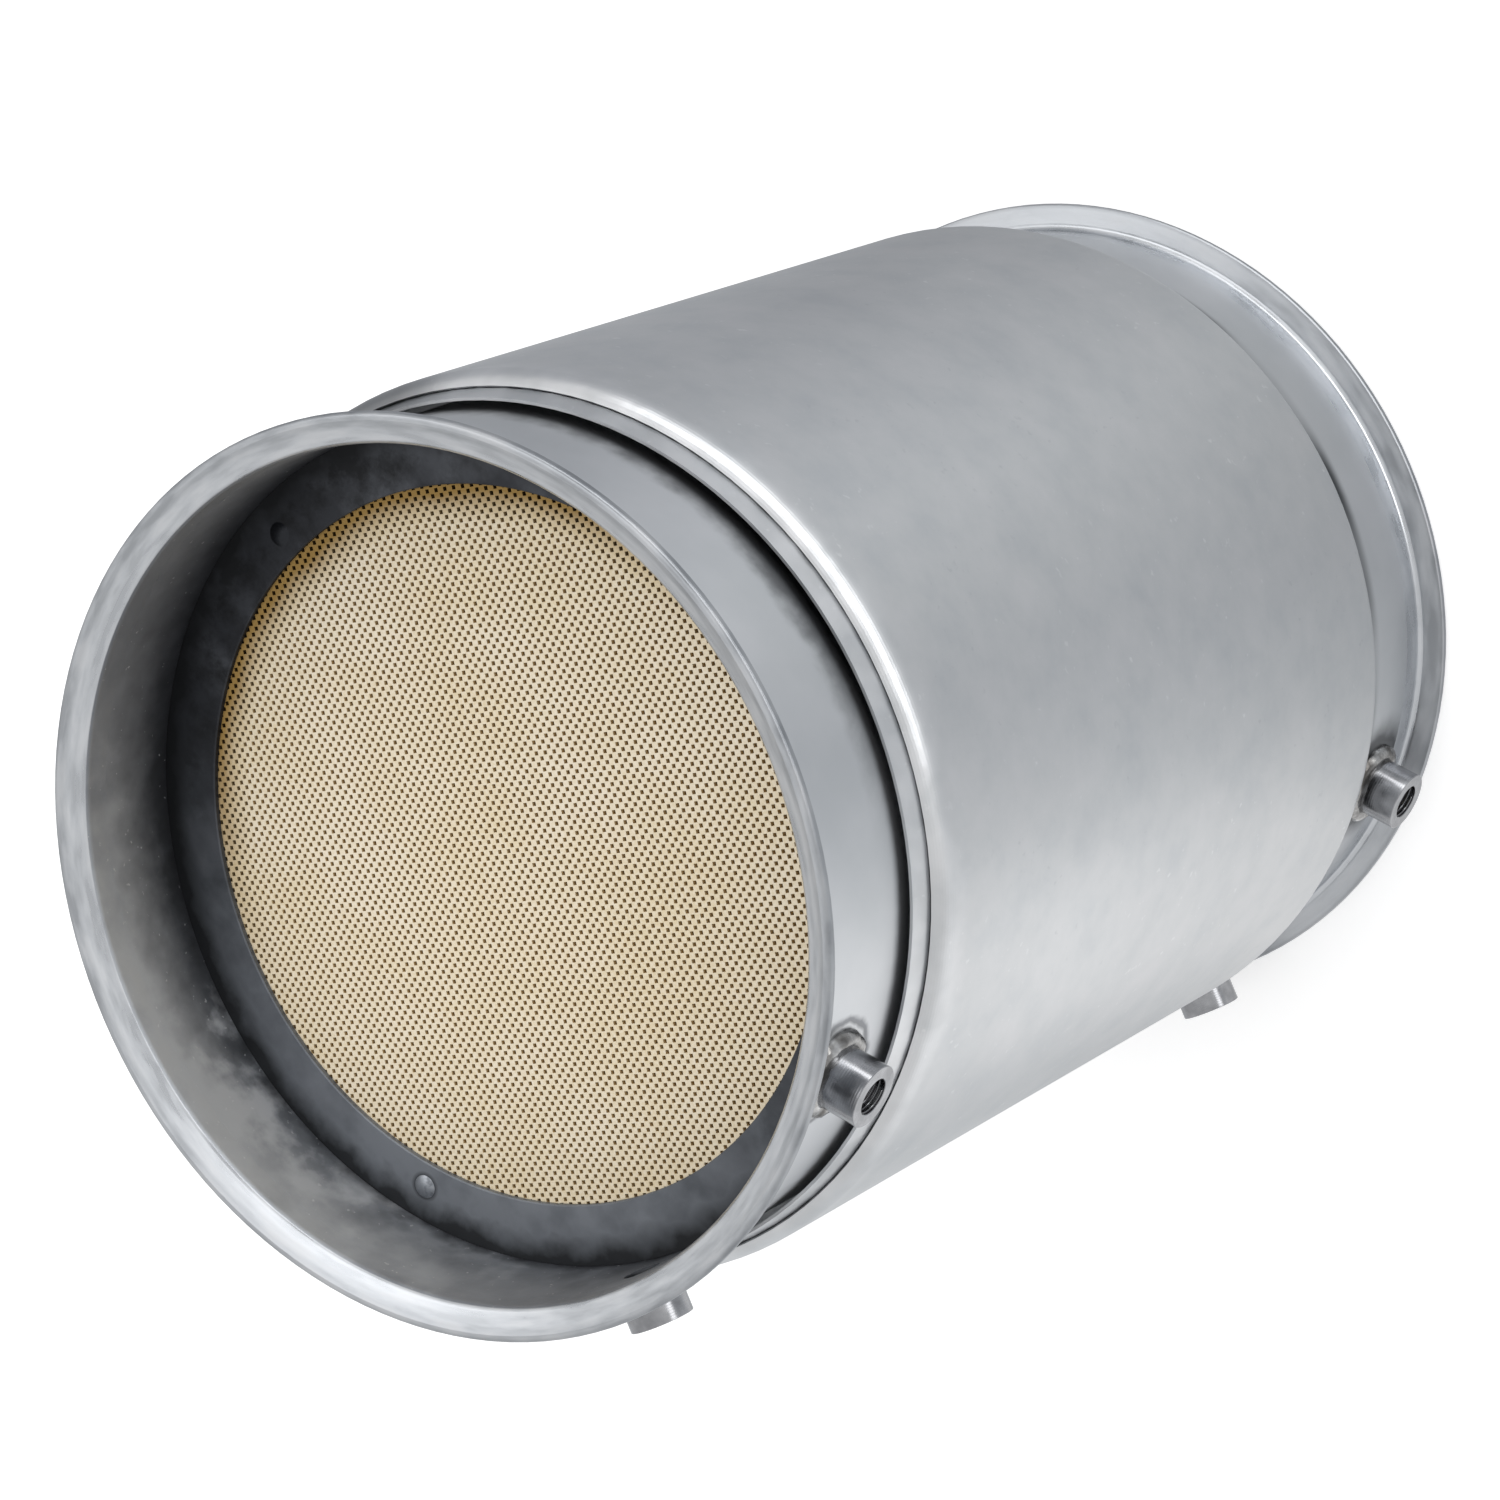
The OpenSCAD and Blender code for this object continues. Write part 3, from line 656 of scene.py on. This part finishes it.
def brick_skin():
    """The rest of the brick: a tube round both cores with a solid middle, spun from its half section."""
    start_clean()
    inner = core_radius + cell_pitch
    section = [(0, inlet_face - core_thickness), (inner, inlet_face - core_thickness), (inner, inlet_face),
               (brick_radius, inlet_face), (brick_radius, outlet_face), (inner, outlet_face),
               (inner, outlet_face + core_thickness), (0, outlet_face + core_thickness)]
    bpy.ops.mesh.primitive_plane_add(size=1)
    piece = bpy.context.object
    bpy.ops.object.mode_set(mode="EDIT")
    bpy.ops.mesh.delete(type="VERT")
    mesh = bmesh.from_edit_mesh(piece.data)
    corners = [mesh.verts.new((r, 0, z)) for r, z in section]
    for a, b in zip(corners, corners[1:]):
        mesh.edges.new((a, b))
    bmesh.update_edit_mesh(piece.data)
    bpy.ops.mesh.select_all(action="SELECT")
    bpy.ops.mesh.spin(steps=160, angle=math.tau, center=(0, 0, 0), axis=(0, 0, 1))
    bpy.ops.mesh.select_all(action="SELECT")
    bpy.ops.mesh.remove_doubles(threshold=0.01 * MM)
    bpy.ops.mesh.normals_make_consistent(inside=False)
    return finish_piece(piece, "brick_skin", ceramic_finish)


def boss_thread(name, level, angle, reach):
    """The thread in a boss's bore: a V ridge that winds up the wall from the can to the mouth."""
    start_clean()
    foot, mouth = can_radius + 0.5 * MM, reach - 1 * MM
    turns = math.floor((mouth - foot) / thread_pitch)
    bpy.ops.mesh.primitive_circle_add(vertices=3, radius=thread_pitch / 2)
    piece = bpy.context.object
    bpy.ops.object.mode_set(mode="EDIT")
    mesh = bmesh.from_edit_mesh(piece.data)
    root = bore_radius + 0.05 * MM
    half_width = 0.44 * thread_pitch
    ridge = [(root, -half_width), (bore_radius - thread_depth, 0), (root, half_width)]
    for corner, (r, z) in zip(mesh.verts, ridge):
        corner.co = (r, 0, z + foot + thread_pitch / 2)
    bmesh.update_edit_mesh(piece.data)
    bpy.ops.object.mode_set(mode="OBJECT")
    screw = piece.modifiers.new("thread", "SCREW")
    screw.axis = "Z"
    screw.angle = math.tau
    screw.screw_offset = thread_pitch
    screw.iterations = turns
    screw.steps = screw.render_steps = 40
    bpy.ops.object.modifier_apply(modifier="thread")
    bpy.ops.object.mode_set(mode="EDIT")
    bpy.ops.mesh.select_all(action="SELECT")
    bpy.ops.mesh.fill_holes(sides=3)
    bpy.ops.mesh.normals_make_consistent(inside=False)
    bpy.ops.object.mode_set(mode="OBJECT")
    piece.rotation_euler = (0, math.pi / 2, angle)
    piece.location.z = level
    return finish_piece(piece, name, thread_finish)


def weld_bead(name, level, angle):
    """A lumpy bead round a boss's foot, cut away where the neck and the boss are."""
    start_clean()
    foot = (can_radius * math.cos(angle), can_radius * math.sin(angle), level)
    bpy.ops.mesh.primitive_cylinder_add(vertices=360, radius=can_radius, depth=100 * MM,
                                        location=(0, 0, level))
    neck = bpy.context.object
    bpy.ops.mesh.primitive_cylinder_add(vertices=96, radius=boss_radius, depth=60 * MM,
                                        location=foot, rotation=(0, math.pi / 2, angle))
    stem = bpy.context.object
    bpy.ops.mesh.primitive_torus_add(major_radius=bead_centre, minor_radius=bead_radius, major_segments=90,
                                     minor_segments=20, location=foot, rotation=(0, math.pi / 2, angle))
    piece = bpy.context.object
    bpy.ops.object.transform_apply(location=True, rotation=True, scale=True)
    lumps = bpy.data.textures.new("weld ripples", "CLOUDS")
    lumps.noise_scale = 4.5 * MM
    lumps.noise_depth = 1
    ripple = piece.modifiers.new("ripples", "DISPLACE")
    ripple.texture = lumps
    ripple.texture_coords = "GLOBAL"
    ripple.mid_level = 0.5
    ripple.strength = 1.5 * MM
    bpy.ops.object.modifier_apply(modifier="ripples")
    for cutter in (neck, stem):
        cut = piece.modifiers.new("cut", "BOOLEAN")
        cut.operation = "DIFFERENCE"
        cut.solver = "EXACT"
        cut.object = cutter
        bpy.ops.object.modifier_apply(modifier="cut")
        bpy.data.objects.remove(cutter)
    piece = finish_piece(piece, name, weld_finish)
    bpy.ops.object.shade_smooth_by_angle(angle=math.radians(50))
    return piece


skin = brick_skin()
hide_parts("filter_substrate")
honeycomb_core("inlet_cells", inlet_face, -1, 0)
honeycomb_core("outlet_cells", outlet_face, 1, 1)
for place_name, (level, angle, reach) in boss_places.items():
    boss_thread(place_name + "_thread", level, angle, reach)
beads = [weld_bead(place_name + "_bead", level, angle)
         for place_name, (level, angle, reach) in boss_places.items()]
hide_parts("boss_weld_beads")

start_clean()
for name in nodes:
    if name != "filter_substrate":
        nodes[name].select_set(True)
        bpy.context.view_layer.objects.active = nodes[name]
bpy.ops.object.shade_smooth_by_angle(angle=math.radians(30))
start_clean()


# Studio

def studio_floor():
    """Plain pale floor that the can stands on, white to the camera and graded to the steel's reflections."""
    start_clean()
    bpy.ops.mesh.primitive_plane_add(size=12)
    floor = bpy.context.object
    floor.name = "floor"
    material, shader, place = new_finish("studio floor")
    feed(material, shader, {"Base Color": linear("#F4F4F4"), "Roughness": 0.9})
    # Seen in reflections only, the floor glows with a card graded round the can: painted reflections for the
    # steel
    turn = add(material, "TexGradient", {"Vector": place, "gradient_type": "RADIAL"}, "Fac")
    card = add(material, "ValToRGB", {"Fac": turn, "stops": [
        (0.0, "#9A9CA0"), (0.15, "#B0B2B5"), (0.3, "#D8DADB"), (0.4, "#C6C8CA"), (0.475, "#F8F8F8"),
        (0.53, "#F9F9F9"), (0.6, "#CBCDCF"), (0.67, "#B9BBBE"), (0.72, "#C0C2C4"), (0.78, "#CBCDCF"),
        (0.83, "#C0C2C5"), (0.93, "#A2A4A8")]})
    # The glow dims near the can: a painted contact shadow in the steel's reflections
    from_axis = add(material, "VectorMath", {"operation": "LENGTH", 0: place}, "Value")
    level = add(material, "MapRange", {"Value": from_axis, "From Min": 0.18, "From Max": 0.32,
                                       "To Min": 1.05, "To Max": 1.32})
    glow = add(material, "Emission", {"Color": card, "Strength": level})
    white = add(material, "Emission", {"Color": (1, 1, 1, 1), "Strength": 0.35})
    lit = add(material, "AddShader", {0: shader.outputs[0], 1: white})
    reflected = add(material, "LightPath", {}, "Is Glossy Ray")
    shown = add(material, "MixShader", {0: reflected, 1: lit, 2: glow})
    feed(material, material.node_tree.nodes["Material Output"], {"Surface": shown})
    floor.data.materials.append(material)


def softbox(name, place, aim, size, power):
    """A soft rectangular lamp that faces a point."""
    bpy.ops.object.light_add(type="AREA", location=place)
    lamp = bpy.context.object
    lamp.name = name
    lamp.data.shape = "RECTANGLE"
    lamp.data.size, lamp.data.size_y = size
    lamp.data.energy = power
    lamp.rotation_euler = (Vector(aim) - Vector(place)).to_track_quat("-Z", "Y").to_euler()


def photo_camera():
    """The photograph's view: above the inlet, off the axis, with the can lying across the picture."""
    bpy.ops.object.camera_add(location=(0.37972, 0.98080, 1.65325),
                              rotation=[math.radians(a) for a in (-16.490, 33.089, 40.469)])
    camera = bpy.context.object
    camera.data.lens = 123.67
    camera.data.sensor_width = 36
    bpy.context.scene.camera = camera


studio_floor()
softbox("key softbox", place=(-1.18, 0.2, 2.14), aim=(0, 0, 0.4), size=(1.6, 1.6), power=9)
softbox("front strip", place=(-0.38, 2.17, 0.8), aim=(0, 0, 0.35), size=(4.4, 0.8), power=30)
photo_camera()

scene = bpy.context.scene
scene.view_settings.view_transform = "Standard"
world = bpy.data.worlds.new("studio")
scene.world = world
world.use_nodes = True
camera_ray = add(world, "LightPath", {}, "Is Camera Ray")
feed(world, world.node_tree.nodes["Background"], {
    "Color": linear("#FAFAFA"),
    "Strength": add(world, "MapRange", {"Value": camera_ray, "To Min": 0.88, "To Max": 1.05}),
})
